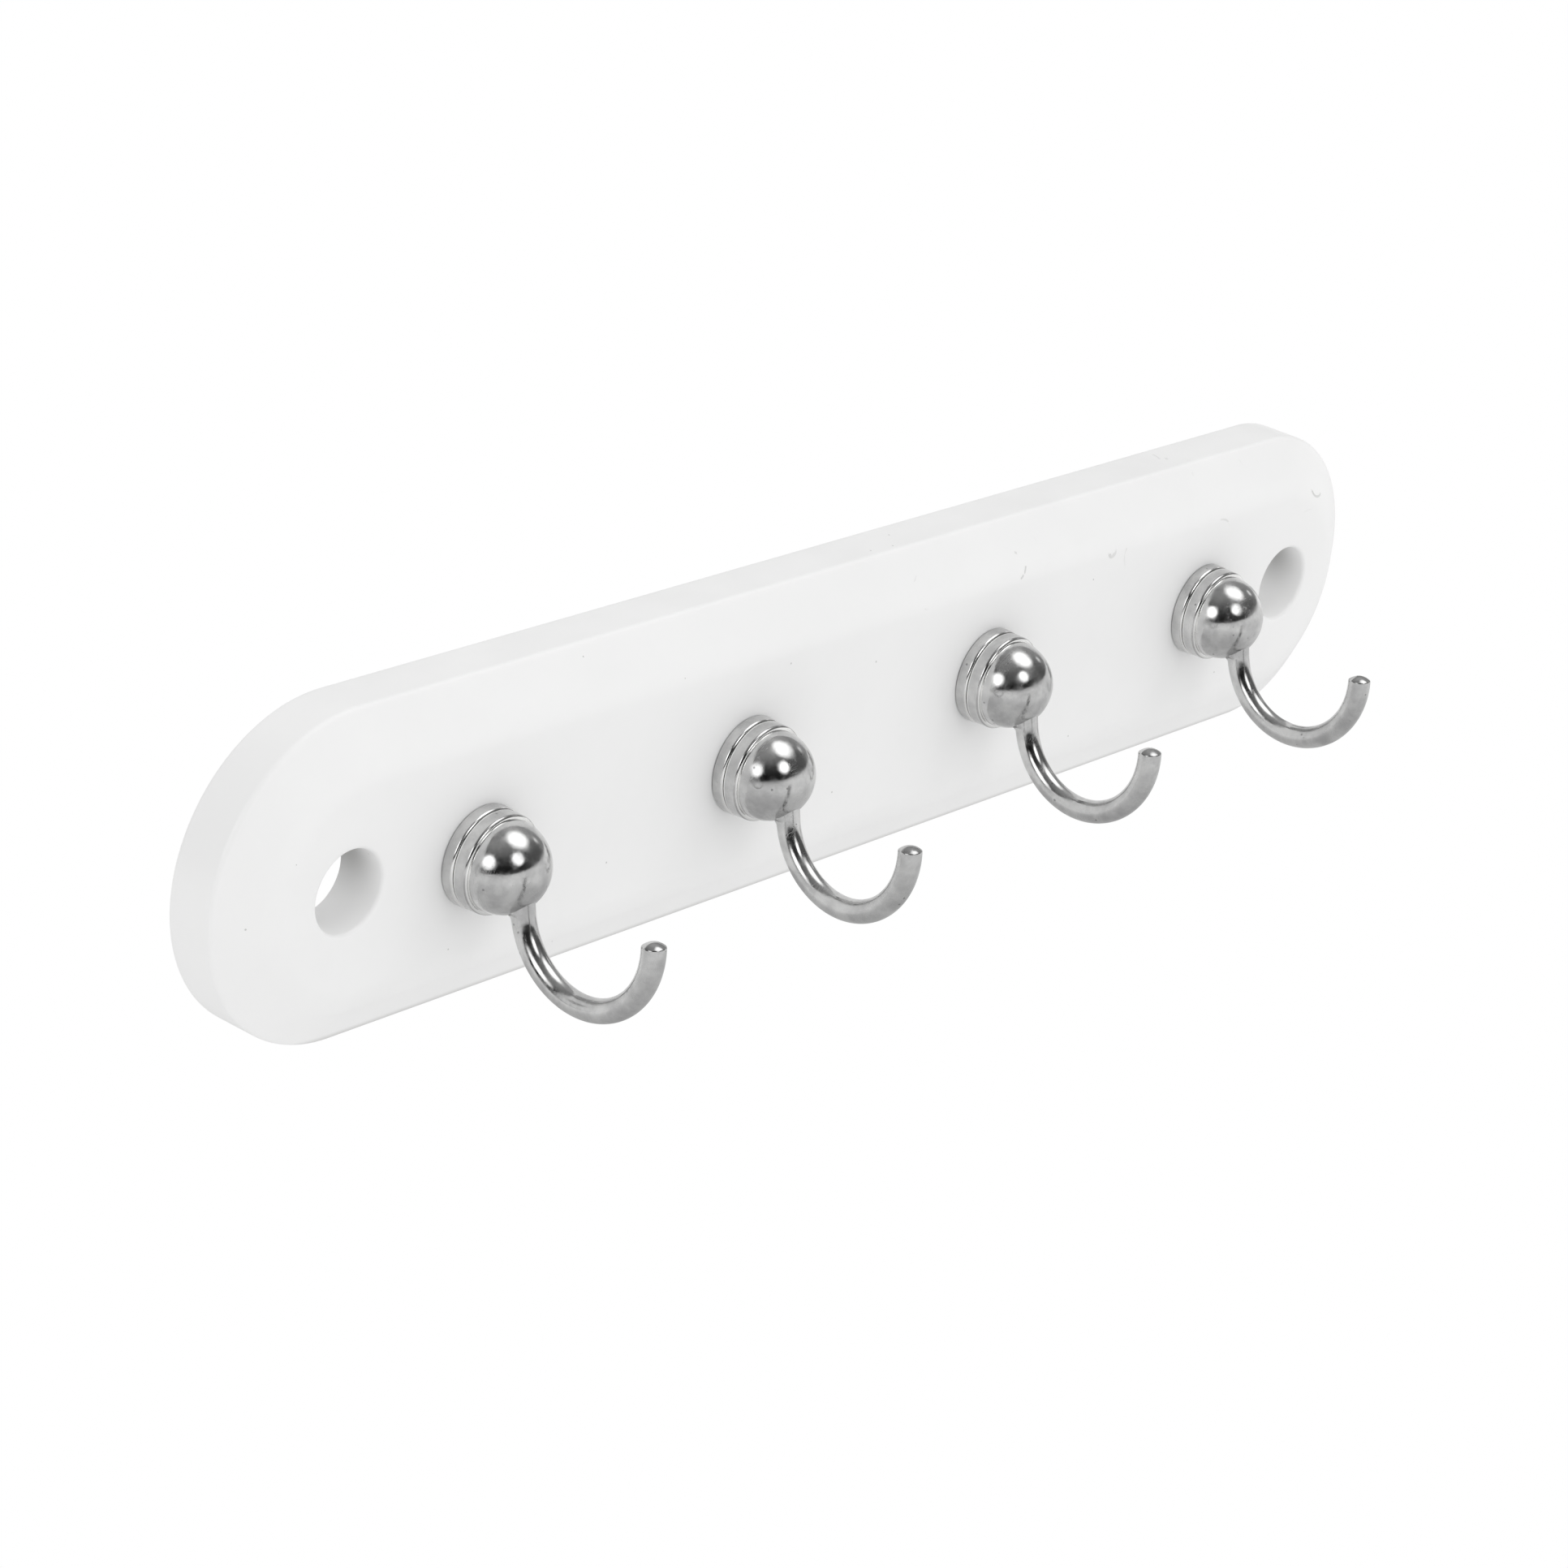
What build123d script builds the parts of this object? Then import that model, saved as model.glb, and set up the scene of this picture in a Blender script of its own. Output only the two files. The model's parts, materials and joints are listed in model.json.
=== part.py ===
"""Wall-mounted hook rail: a bevelled board with a row of round-rod hooks.

Frame: the origin is the centre of the board's back face, which lies against the wall.
+X runs along the board, to the right when it is seen from the room, +Z is up, and the hooks
reach out along -Y. Everything is in millimetres, and a depth is a distance out from the wall.
"""
import os
from math import cos, radians, sin

from build123d import *

# The board, and the bevel that runs all round its front
board_length = 318.0
board_height = 60.0
board_thickness = 15.0
bevel_width = 9.1
bevel_rise = 5.5
bevel_brow_radius = 9.0
bevel_crease_radius = 0.8

# The two holes that take the wall screws, relieved from behind
wall_hole_offset = 133.0
wall_hole_radius = 7.5
wall_hole_lip = 0.8
relief_radius = 15.0
relief_depth = 5.2

# The hooks, which were set by eye: the place of each along the board and above its centre line,
# and the angle by which its arm swings towards the board's left end
hook_spots = [(-102.4, -0.9), (-34.0, -0.5), (34.9, 1.6), (103.9, 0.7)]
arm_swings = [0.6, 4.1, 2.6, 2.4]

# The two stacked rings under each knob
base_ring_radius = 9.25
base_ring_thickness = 2.5
base_ring_edge = 0.5
collar_radius = 9.05
collar_thickness = 2.9
collar_back_edge = 0.25
collar_front_edge = 0.55

# The half-round knob, and the rod arm that hangs out of its underside
knob_radius = 8.3
arm_radius = 2.15
arm_bend_radius = 14.65
arm_bend_centre_depth = 40.2
arm_bend_centre_height = -3.0
arm_root_angle = 12.5
arm_tip_angle = 10.4
arm_shank_length = 3.0
arm_tip_edge = 1.0

# The M4 x 20 pan-head screw and washer that clamp each hook from behind
screw_radius = 1.95
screw_length = 20.0
screw_head_radius = 3.8
screw_head_height = 2.4
screw_head_edge = 0.9
drive_arm_width = 0.9
drive_arm_length = 4.2
drive_depth = 1.3
washer_radius = 4.5
washer_thickness = 0.8
clearance_radius = 2.2
thread_radius = 2.0
thread_depth = 4.4
screw_pocket_radius = 5.5
screw_pocket_depth = 5.0

# Depths that follow from the dimensions above
collar_back_depth = board_thickness + base_ring_thickness
knob_back_depth = collar_back_depth + collar_thickness
head_seat_depth = screw_pocket_depth - washer_thickness

wall_hole_spots = [(-wall_hole_offset, 0), (wall_hole_offset, 0)]


def facing_room(spot, depth):
    """Plane parallel to the wall, centred on an (x, height) spot, that extrudes out to the room."""
    x, height = spot
    return Plane(origin=(x, -depth, height), x_dir=(1, 0, 0), z_dir=(0, -1, 0))


def facing_wall(spot, depth):
    """The same plane turned over, so that it extrudes back towards the wall."""
    x, height = spot
    return Plane(origin=(x, -depth, height), x_dir=(-1, 0, 0), z_dir=(0, 1, 0))


def on_bend(angle):
    """Point on the arm's bend, in its upright plane: 0 is level, on the room side."""
    return (
        arm_bend_centre_depth + arm_bend_radius * cos(radians(angle)),
        arm_bend_centre_height + arm_bend_radius * sin(radians(angle)),
    )


def shank_end():
    """Blind end of the arm's straight shank, in its upright plane."""
    root_depth, root_height = on_bend(180 + arm_root_angle)
    return (
        root_depth - arm_shank_length * sin(radians(arm_root_angle)),
        root_height + arm_shank_length * cos(radians(arm_root_angle)),
    )


def upright(spot, swing):
    """Upright plane through a hook, swung about the plumb line through its arm's root.

    Local x is the depth from the wall and local y is the height above the hook's axis.
    """
    x, height = spot
    root_depth = on_bend(180 + arm_root_angle)[0]
    side, out = -sin(radians(swing)), -cos(radians(swing))
    origin = (x - root_depth * side, -root_depth * (1 + out), height)
    return Plane(origin=origin, x_dir=(side, out, 0), z_dir=(out, -side, 0))


def shank_plane(plane):
    """Plane across the shank's blind end, extruding down along the shank towards the bend."""
    start = plane.from_local_coords(shank_end())
    root = plane.from_local_coords(on_bend(180 + arm_root_angle))
    return Plane(origin=start, x_dir=plane.z_dir, z_dir=root - start)


def save(piece, name):
    piece.label = name
    export_step(piece, f"parts/{name}.step")


def make_board():
    with BuildPart() as board:
        with BuildSketch(facing_room((0, 0), 0)):
            SlotOverall(board_length, board_height)
        extrude(amount=board_thickness)
        front = board.faces().sort_by(Axis.Y)[0]
        chamfer(front.edges(), length=bevel_width, length2=bevel_rise, reference=front)
        brow = board.faces().sort_by(Axis.Y)[0].edges()
        fillet(brow, radius=bevel_brow_radius)
        crease = board.edges().filter_by_position(
            Axis.Y, bevel_rise - board_thickness - 0.1, bevel_rise - board_thickness + 0.1
        )
        fillet(crease, radius=bevel_crease_radius)
        for spot in wall_hole_spots:
            with BuildSketch(facing_wall(spot, board_thickness)):
                Circle(wall_hole_radius)
            extrude(amount=board_thickness, mode=Mode.SUBTRACT)
            with BuildSketch(facing_room(spot, 0)):
                Circle(relief_radius)
            extrude(amount=relief_depth, mode=Mode.SUBTRACT)
        rims = board.faces().sort_by(Axis.Y)[0].edges().filter_by(GeomType.CIRCLE)
        rims = rims.filter_by(lambda rim: abs(rim.radius - wall_hole_radius) < 0.01)
        fillet(rims, radius=wall_hole_lip)
        for spot in hook_spots:
            with BuildSketch(facing_wall(spot, board_thickness)):
                Circle(clearance_radius)
            extrude(amount=board_thickness, mode=Mode.SUBTRACT)
            with BuildSketch(facing_room(spot, 0)):
                Circle(screw_pocket_radius)
            extrude(amount=screw_pocket_depth, mode=Mode.SUBTRACT)
    return board.part


def make_base_ring(spot):
    with BuildPart() as base_ring:
        with BuildSketch(facing_room(spot, board_thickness)):
            Circle(base_ring_radius)
            Circle(clearance_radius, mode=Mode.SUBTRACT)
        extrude(amount=base_ring_thickness)
        fillet(base_ring.faces().sort_by(Axis.Y)[0].outer_wire().edges(), radius=base_ring_edge)
    return base_ring.part


def make_collar_ring(spot):
    with BuildPart() as collar_ring:
        with BuildSketch(facing_room(spot, collar_back_depth)):
            Circle(collar_radius)
            Circle(clearance_radius, mode=Mode.SUBTRACT)
        extrude(amount=collar_thickness)
        fillet(collar_ring.faces().sort_by(Axis.Y)[0].outer_wire().edges(), radius=collar_front_edge)
        chamfer(collar_ring.faces().sort_by(Axis.Y)[-1].outer_wire().edges(), length=collar_back_edge)
    return collar_ring.part


def make_knob(spot, swing):
    """Half-round boss, tapped from behind and drilled from below for the arm."""
    x, height = spot
    with BuildPart() as knob:
        with BuildSketch(upright(spot, 0)):
            with BuildLine():
                back = (knob_back_depth, 0)
                rim = (knob_back_depth, knob_radius)
                nose = (knob_back_depth + knob_radius, 0)
                Line(back, rim)
                CenterArc(back, knob_radius, 0, 90)
                Line(nose, back)
            make_face()
        revolve(axis=Axis((x, 0, height), (0, -1, 0)))
        with BuildSketch(facing_room(spot, knob_back_depth)):
            Circle(thread_radius)
        extrude(amount=thread_depth, mode=Mode.SUBTRACT)
        with BuildSketch(shank_plane(upright(spot, swing))):
            Circle(arm_radius)
        extrude(amount=knob_radius, mode=Mode.SUBTRACT)
    return knob.part


def make_arm(spot, swing):
    """Round rod: a straight shank in the knob, then one bend out and up to the open tip."""
    plane = upright(spot, swing)
    with BuildPart() as arm:
        with BuildLine(plane) as route:
            Line(shank_end(), on_bend(180 + arm_root_angle))
            CenterArc(
                (arm_bend_centre_depth, arm_bend_centre_height),
                arm_bend_radius,
                180 + arm_root_angle,
                180 + arm_tip_angle - arm_root_angle,
            )
        with BuildSketch(shank_plane(plane)):
            Circle(arm_radius)
        sweep(path=route.wires()[0])
        tip = arm.faces().filter_by(GeomType.PLANE).sort_by(Axis.Y)[0]
        fillet(tip.edges(), radius=arm_tip_edge)
    return arm.part


def make_washer(spot):
    with BuildPart() as washer:
        with BuildSketch(facing_wall(spot, screw_pocket_depth)):
            Circle(washer_radius)
            Circle(clearance_radius, mode=Mode.SUBTRACT)
        extrude(amount=washer_thickness)
    return washer.part


def make_screw(spot):
    """Pan-head machine screw with a cross recess in its head."""
    with BuildPart() as screw:
        with BuildSketch(facing_wall(spot, head_seat_depth)):
            Circle(screw_head_radius)
        extrude(amount=screw_head_height)
        head_top = screw.faces().sort_by(Axis.Y)[-1]
        fillet(head_top.edges(), radius=screw_head_edge)
        with BuildSketch(facing_room(spot, head_seat_depth - screw_head_height)):
            Rectangle(drive_arm_length, drive_arm_width)
            Rectangle(drive_arm_width, drive_arm_length)
        extrude(amount=drive_depth, mode=Mode.SUBTRACT)
        with BuildSketch(facing_room(spot, head_seat_depth)):
            Circle(screw_radius)
        extrude(amount=screw_length)
        chamfer(screw.faces().sort_by(Axis.Y)[0].edges(), length=0.4)
    return screw.part


save(make_board(), "board")
for number, (spot, swing) in enumerate(zip(hook_spots, arm_swings), start=1):
    save(make_base_ring(spot), f"base_ring_{number}")
    save(make_collar_ring(spot), f"collar_ring_{number}")
    save(make_knob(spot, swing), f"knob_{number}")
    save(make_arm(spot, swing), f"arm_{number}")
    save(make_washer(spot), f"washer_{number}")
    save(make_screw(spot), f"screw_{number}")
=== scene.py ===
# %% [markdown]
# # A wall-mounted hook rail
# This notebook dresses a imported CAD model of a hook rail: a white board with rounded ends, and a
# row of bright plated hooks, each a stack of two rings, a half-round knob and a bent rod. The CAD
# holds every size. Here each visible part is modelled again as a clean, smooth mesh in the same
# place, because a mirror finish shows every facet, and each part gets a worked-out finish.

import json
from math import atan2, cos, pi, radians, sin, sqrt

import bmesh
import bpy
from mathutils import Matrix, Vector

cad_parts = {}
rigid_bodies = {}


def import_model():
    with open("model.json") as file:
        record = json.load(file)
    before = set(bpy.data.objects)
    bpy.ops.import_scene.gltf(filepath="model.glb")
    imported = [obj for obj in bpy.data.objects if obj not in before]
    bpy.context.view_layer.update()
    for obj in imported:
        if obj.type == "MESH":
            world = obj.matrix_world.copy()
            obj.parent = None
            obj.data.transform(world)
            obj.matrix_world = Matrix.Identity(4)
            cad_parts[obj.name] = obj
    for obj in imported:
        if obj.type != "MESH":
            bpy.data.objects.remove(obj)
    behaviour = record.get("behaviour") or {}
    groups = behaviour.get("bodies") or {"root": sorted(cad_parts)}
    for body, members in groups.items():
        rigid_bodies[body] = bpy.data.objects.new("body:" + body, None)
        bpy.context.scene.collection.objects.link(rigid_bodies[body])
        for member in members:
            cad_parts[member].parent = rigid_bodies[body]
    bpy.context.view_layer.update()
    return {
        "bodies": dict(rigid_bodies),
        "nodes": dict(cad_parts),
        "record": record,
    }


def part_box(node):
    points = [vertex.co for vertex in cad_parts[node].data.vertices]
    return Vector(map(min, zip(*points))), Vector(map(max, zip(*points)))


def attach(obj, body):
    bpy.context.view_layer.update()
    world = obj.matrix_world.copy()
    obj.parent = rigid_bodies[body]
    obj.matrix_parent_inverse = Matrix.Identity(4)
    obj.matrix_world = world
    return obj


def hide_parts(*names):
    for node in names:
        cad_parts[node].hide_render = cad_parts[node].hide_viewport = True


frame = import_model()
MM = 0.001

# %% [markdown]
# ## Sizes
# The depth of a point is its distance out from the wall, so it runs along -Y. Where a part is, and
# how big it is, is read from its CAD node's box. The few sizes that a box can't give, such as the
# bend of an arm, are named where they are first needed.

# %% Measure the CAD nodes
HOOKS = sorted(int(name.split("_")[-1]) for name in frame["nodes"] if name.startswith("knob_"))


def size_of(name):
    """Middle, width, height and nearest and furthest depth of one CAD node."""
    low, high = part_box(name)
    return {
        "middle": (low + high) / 2,
        "width": high.x - low.x,
        "height": high.z - low.z,
        "back": -high.y,
        "front": -low.y,
    }


HOOK_SPOT = {}
for k in HOOKS:
    middle = size_of(f"knob_{k}")["middle"]
    HOOK_SPOT[k] = Vector((middle.x, 0, middle.z))
print("hooks at", {k: [round(v / MM, 1) for v in spot] for k, spot in HOOK_SPOT.items()}, "mm")

# %% Measure the board
board = size_of("board")
END_RADIUS = board["height"] / 2
HALF_STRAIGHT = board["width"] / 2 - END_RADIUS
holes = next(m for m in frame["record"]["mounts"] if m["name"] == "wall_screw_holes")["dims"]
WALL_HOLE_X = holes["spacing_x_mm"] * MM / 2
WALL_HOLE_RADIUS = holes["hole_r_mm"] * MM
print("board", [round(board[side] / MM, 1) for side in ("width", "height", "front")], "mm")

# %% [markdown]
# ## The view
# A long lens, seen from the left and from above, with the camera leaning a little. The camera's
# axes are worked out from its azimuth, elevation and lean, and its matrix is set directly.

# %% Camera axes
AZIMUTH, ELEVATION, LEAN = radians(-52.617), radians(22.581), radians(7.869)

backward = Vector((sin(AZIMUTH) * cos(ELEVATION), -cos(AZIMUTH) * cos(ELEVATION), sin(ELEVATION)))
level = Vector((0, 0, 1)).cross(backward).normalized()
upward = backward.cross(level)
right = level * cos(LEAN) + upward * sin(LEAN)
top = upward * cos(LEAN) - level * sin(LEAN)
print("camera looks along", [round(-v, 3) for v in backward])

# %% Camera
DISTANCE = 0.8987
AIM = Vector((-0.0026, 0.0, -0.0175))
LENS_MM, SENSOR_MM = 111.54, 36.0

lens = bpy.data.cameras.new("camera")
lens.lens, lens.sensor_width = LENS_MM, SENSOR_MM
lens.clip_start, lens.clip_end = 0.01, 50.0
camera = bpy.data.objects.new("camera", lens)
camera.matrix_world = Matrix.Translation(AIM + backward * DISTANCE) @ Matrix((
    (right.x, top.x, backward.x, 0),
    (right.y, top.y, backward.y, 0),
    (right.z, top.z, backward.z, 0),
    (0, 0, 0, 1),
))
bpy.context.scene.collection.objects.link(camera)
bpy.context.scene.camera = camera
bpy.context.scene.view_settings.view_transform = "Standard"
print("camera at", [round(v, 3) for v in camera.matrix_world.translation])

# %% [markdown]
# ## The studio
# Bright plating has no colour of its own: it shows the room. The room here is pale below the
# horizon and dark just above it, and it grows lighter towards the ceiling. Soft boxes stand up in
# the dark, so each knob carries a black band, three soft highlights and a grey underside. White
# paint needs the opposite, a nearly even light from all round, so the two are kept apart: the
# world's even fill and three lamps light the paint, and the plating mirrors a painted room.

# %% Node helper
def node(tree, kind, place, **settings):
    """Adds one node, and sets its attributes, and its inputs where the name is a socket's."""
    made = tree.nodes.new(kind)
    made.location = place
    for name, value in settings.items():
        if hasattr(made, name):
            setattr(made, name, value)
        else:
            made.inputs[name.replace("_", " ")].default_value = value
    return made

# %% [markdown]
# A highlight in the painted room is a round patch that fades towards its edge. It could be a lamp
# in the plating's reflections, but a painted one has a soft edge of any width. It's worked out from
# the angle between the direction looked at and the middle of the patch.

# %% Highlights
# Each patch is (azimuth, elevation, inner radius, outer radius, brightness), in degrees.
PATCHES = {
    "high": (56, 68, 6, 27, 1.8),
    "front": (-8, 38, 6, 17, 2.2),
    "side": (-88, 24, 8, 20, 2.2),
    "strip": (83, 27, 2, 6, 0.9),
    "far_wall": (80, 25, 15, 85, 0.11),
    "back_wall": (127, 25, 20, 60, 0.2),
}


def bearing(azimuth, elevation):
    """Unit vector towards a place in the room; azimuth 0 is straight out from the wall."""
    a, e = radians(azimuth), radians(elevation)
    return Vector((sin(a) * cos(e), -cos(a) * cos(e), sin(e)))


def add_patch(tree, direction, total, place, azimuth, elevation, inner, outer, power):
    """Adds one soft patch to a brightness, and returns the new total."""
    facing = node(tree, "ShaderNodeVectorMath", place, operation="DOT_PRODUCT")
    facing.inputs[1].default_value = bearing(azimuth, elevation)
    glow = node(tree, "ShaderNodeMapRange", (place[0] + 200, place[1]))
    glow.interpolation_type = "SMOOTHSTEP"
    glow.inputs["From Min"].default_value = cos(radians(outer))
    glow.inputs["From Max"].default_value = cos(radians(inner))
    glow.inputs["To Max"].default_value = power
    add = node(tree, "ShaderNodeMath", (place[0] + 400, place[1]), operation="ADD")
    tree.links.new(direction, facing.inputs[0])
    tree.links.new(facing.outputs["Value"], glow.inputs["Value"])
    tree.links.new(glow.outputs["Result"], add.inputs[0])
    tree.links.new(total, add.inputs[1])
    return add.outputs["Value"]


print("highlights", list(PATCHES))

# %% [markdown]
# Behind the highlights the room is a ramp from the floor to the ceiling. The ramp leans a little
# about the line of sight, because the plating's horizon does.

# %% Painted room
# Each shade is (height, brightness), from straight down at 0 to straight up at 1.
ROOM_SHADES = (
    (0.0, 0.56), (0.44, 0.80), (0.505, 0.72), (0.53, 0.010),
    (0.66, 0.008), (0.80, 0.05), (0.92, 0.19), (1.0, 0.30),
)
ROOM_LEAN = radians(-9.0)


def paint_room(tree, direction):
    """Brightness of the room in the direction looked at, as the plating sees it."""
    leaning = node(tree, "ShaderNodeMapping", (-1400, 200), vector_type="VECTOR")
    axis = Vector((backward.x, backward.y, 0)).normalized()
    leaning.inputs["Rotation"].default_value = Matrix.Rotation(ROOM_LEAN, 3, axis).to_euler()
    split = node(tree, "ShaderNodeSeparateXYZ", (-1200, 200))
    height = node(tree, "ShaderNodeMapRange", (-1000, 200), From_Min=-1.0, From_Max=1.0)
    shade = node(tree, "ShaderNodeValToRGB", (-800, 200))
    ramp = shade.color_ramp
    while len(ramp.elements) < len(ROOM_SHADES):
        ramp.elements.new(0.5)
    for element, (position, value) in zip(ramp.elements, ROOM_SHADES):
        element.position, element.color = position, (value, value, value, 1)
    link = tree.links.new
    link(direction, leaning.inputs["Vector"])
    link(leaning.outputs["Vector"], split.inputs["Vector"])
    link(split.outputs["Z"], height.inputs["Value"])
    link(height.outputs["Result"], shade.inputs["Fac"])
    total = shade.outputs["Color"]
    for row, patch in enumerate(PATCHES.values()):
        total = add_patch(tree, direction, total, (-800, -200 * row), *patch)
    return total

# %% [markdown]
# The world picks one of three brightnesses by the kind of ray: white for the camera's background,
# the painted room for reflections, and a nearly even fill for everything else. The fill is a little
# weaker from the left, so that the board's left end is the darker one.

# %% World
FILL_LEFT, FILL_RIGHT = 0.80, 0.95


def make_world():
    world = bpy.data.worlds.new("studio")
    bpy.context.scene.world = world
    world.use_nodes = True
    tree = world.node_tree
    tree.nodes.clear()
    ray = node(tree, "ShaderNodeLightPath", (-600, 500))
    where = node(tree, "ShaderNodeTexCoord", (-1600, 0))
    sideways = node(tree, "ShaderNodeSeparateXYZ", (-600, 350))
    fill = node(tree, "ShaderNodeMapRange", (-400, 350), From_Min=-1.0)
    fill.inputs["To Min"].default_value = FILL_LEFT
    fill.inputs["To Max"].default_value = FILL_RIGHT
    mirrored = node(tree, "ShaderNodeMix", (0, 200), data_type="FLOAT")
    seen = node(tree, "ShaderNodeMix", (200, 200), data_type="FLOAT")
    seen.inputs["B"].default_value = 1.0
    background = node(tree, "ShaderNodeBackground", (400, 0))
    background.inputs["Color"].default_value = (1, 1, 1, 1)
    output = node(tree, "ShaderNodeOutputWorld", (600, 0))
    link = tree.links.new
    link(where.outputs["Generated"], sideways.inputs["Vector"])
    link(sideways.outputs["X"], fill.inputs["Value"])
    link(fill.outputs["Result"], mirrored.inputs["A"])
    link(paint_room(tree, where.outputs["Generated"]), mirrored.inputs["B"])
    link(ray.outputs["Is Glossy Ray"], mirrored.inputs["Factor"])
    link(mirrored.outputs["Result"], seen.inputs["A"])
    link(ray.outputs["Is Camera Ray"], seen.inputs["Factor"])
    link(seen.outputs["Result"], background.inputs["Strength"])
    link(background.outputs["Background"], output.inputs["Surface"])
    return world


print("world nodes", len(make_world().node_tree.nodes))

# %% [markdown]
# Three lamps stand where the three strongest highlights are painted. They cast the soft shadow
# under each hook, and are hidden from reflections, where the painted patches do their work.

# %% Soft boxes
LAMP_DISTANCE = 1.4
# Each lamp is (side in metres, power in watts).
LAMPS = {"high": (0.75, 2.2), "front": (0.62, 1.1), "side": (0.55, 0.6)}

for patch, (size, power) in LAMPS.items():
    light = bpy.data.lights.new(f"{patch}_box", "AREA")
    light.shape, light.size, light.energy = "SQUARE", size, power
    lamp = bpy.data.objects.new(f"{patch}_box", light)
    way = bearing(*PATCHES[patch][:2])
    lamp.location = way * LAMP_DISTANCE
    lamp.rotation_mode = "QUATERNION"
    lamp.rotation_quaternion = way.to_track_quat("Z", "Y")
    lamp.visible_glossy = False
    bpy.context.scene.collection.objects.link(lamp)
print("lamps", list(LAMPS))

# %% [markdown]
# The floor is a plain pale sheet, well below the rail so that no shadow shows on it. It glows:
# white to the camera, nearly white to the paint, and in a reflection it's mid grey under the rail
# and paler further out, as a lit tabletop is.

# %% Floor finish
PALE_FROM, PALE_TO = 0.26, 0.9
LIT_NEAR, LIT_FAR = 0.95, 1.0
MIRRORED_NEAR, MIRRORED_FAR = 0.52, 0.84


def make_floor_finish():
    finish = bpy.data.materials.new("pale_floor")
    finish.use_nodes = True
    tree = finish.node_tree
    tree.nodes.clear()
    link = tree.links.new
    ray = node(tree, "ShaderNodeLightPath", (-600, 300))
    where = node(tree, "ShaderNodeTexCoord", (-1000, 0))
    reach = node(tree, "ShaderNodeVectorMath", (-800, 0), operation="LENGTH")
    link(where.outputs["Object"], reach.inputs[0])
    pick = node(tree, "ShaderNodeMix", (-400, 0), data_type="FLOAT")
    shades = (("A", LIT_NEAR, LIT_FAR), ("B", MIRRORED_NEAR, MIRRORED_FAR))
    for row, (socket, near, far) in enumerate(shades):
        paler = node(tree, "ShaderNodeMapRange", (-600, -250 * row))
        paler.inputs["From Min"].default_value = PALE_FROM
        paler.inputs["From Max"].default_value = PALE_TO
        paler.inputs["To Min"].default_value = near
        paler.inputs["To Max"].default_value = far
        link(reach.outputs["Value"], paler.inputs["Value"])
        link(paler.outputs["Result"], pick.inputs[socket])
    seen = node(tree, "ShaderNodeMix", (-200, 0), data_type="FLOAT")
    seen.inputs["B"].default_value = 1.0
    glow = node(tree, "ShaderNodeEmission", (0, 0), Color=(1, 1, 1, 1))
    output = node(tree, "ShaderNodeOutputMaterial", (200, 0))
    link(ray.outputs["Is Glossy Ray"], pick.inputs["Factor"])
    link(pick.outputs["Result"], seen.inputs["A"])
    link(ray.outputs["Is Camera Ray"], seen.inputs["Factor"])
    link(seen.outputs["Result"], glow.inputs["Strength"])
    link(glow.outputs["Emission"], output.inputs["Surface"])
    return finish

# %% Floor
FLOOR_BELOW = 0.26
FLOOR_RADIUS = 1.8

bm = bmesh.new()
bmesh.ops.create_circle(bm, cap_ends=True, segments=64, radius=FLOOR_RADIUS)
bmesh.ops.translate(bm, verts=bm.verts, vec=(0, 0, -FLOOR_BELOW))
mesh = bpy.data.meshes.new("floor")
bm.to_mesh(mesh)
bm.free()
mesh.materials.append(make_floor_finish())
floor = bpy.data.objects.new("floor", mesh)
bpy.context.scene.collection.objects.link(floor)
print("floor", FLOOR_BELOW, "m below the rail's middle")

# %% [markdown]
# ## Shared effects
# Four effects make up the wear: soft mottling, hairline scratches, specks and scuffs. Each is a
# node group that is built once and placed in a finish with its own values. They could be painted
# as images, but worked-out noise needs no unwrapping and stays sharp however close the view is.

# %% Empty node group
def new_group(name, inputs, outputs):
    """An empty node group with float inputs {name: default}, a Vector input and float outputs."""
    group = bpy.data.node_groups.new(name, "ShaderNodeTree")
    group.interface.new_socket("Vector", in_out="INPUT", socket_type="NodeSocketVector")
    for label, default in inputs.items():
        socket = group.interface.new_socket(label, in_out="INPUT", socket_type="NodeSocketFloat")
        socket.default_value = default
    for label in outputs:
        group.interface.new_socket(label, in_out="OUTPUT", socket_type="NodeSocketFloat")
    start = node(group, "NodeGroupInput", (-900, 0))
    end = node(group, "NodeGroupOutput", (600, 0))
    return group, start, end

# %% [markdown]
# Mottling is what makes a real coating uneven: gloss that drifts, or a bloom that dulls a plate in
# patches. It's a cloudy noise, stretched in contrast so that its patches have a top and a bottom.

# %% Mottle
def make_mottle_group():
    """Cloudy patches between Low and High, such as uneven gloss or an old bloom."""
    group, start, end = new_group("mottle", {"Scale": 300.0, "Low": 0.0, "High": 1.0}, ["Value"])
    cloud = node(group, "ShaderNodeTexNoise", (-600, 0), Detail=5.0, Roughness=0.6)
    spread = node(group, "ShaderNodeMapRange", (-300, 0), From_Min=0.3, From_Max=0.7)
    spread.interpolation_type = "SMOOTHSTEP"
    link = group.links.new
    link(start.outputs["Vector"], cloud.inputs["Vector"])
    link(start.outputs["Scale"], cloud.inputs["Scale"])
    link(cloud.outputs["Fac"], spread.inputs["Value"])
    link(start.outputs["Low"], spread.inputs["To Min"])
    link(start.outputs["High"], spread.inputs["To Max"])
    link(spread.outputs["Result"], end.inputs["Value"])
    return group


MOTTLE = make_mottle_group()
print("mottle nodes", len(MOTTLE.nodes))

# %% [markdown]
# Hairlines come from wiping and from coats. The borders of long, stretched cells make thin straight
# lines; two layers slant different ways, and a noise breaks them up so that none runs too far.

# %% Scratches
# Each layer is (turn about x, y and z in radians, stretch).
SCRATCH_LAYERS = (((0.4, 1.1, 0.3), 9.0), ((1.3, -0.5, 0.8), 14.0))
SCRATCHED_ABOVE = 0.6


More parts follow.
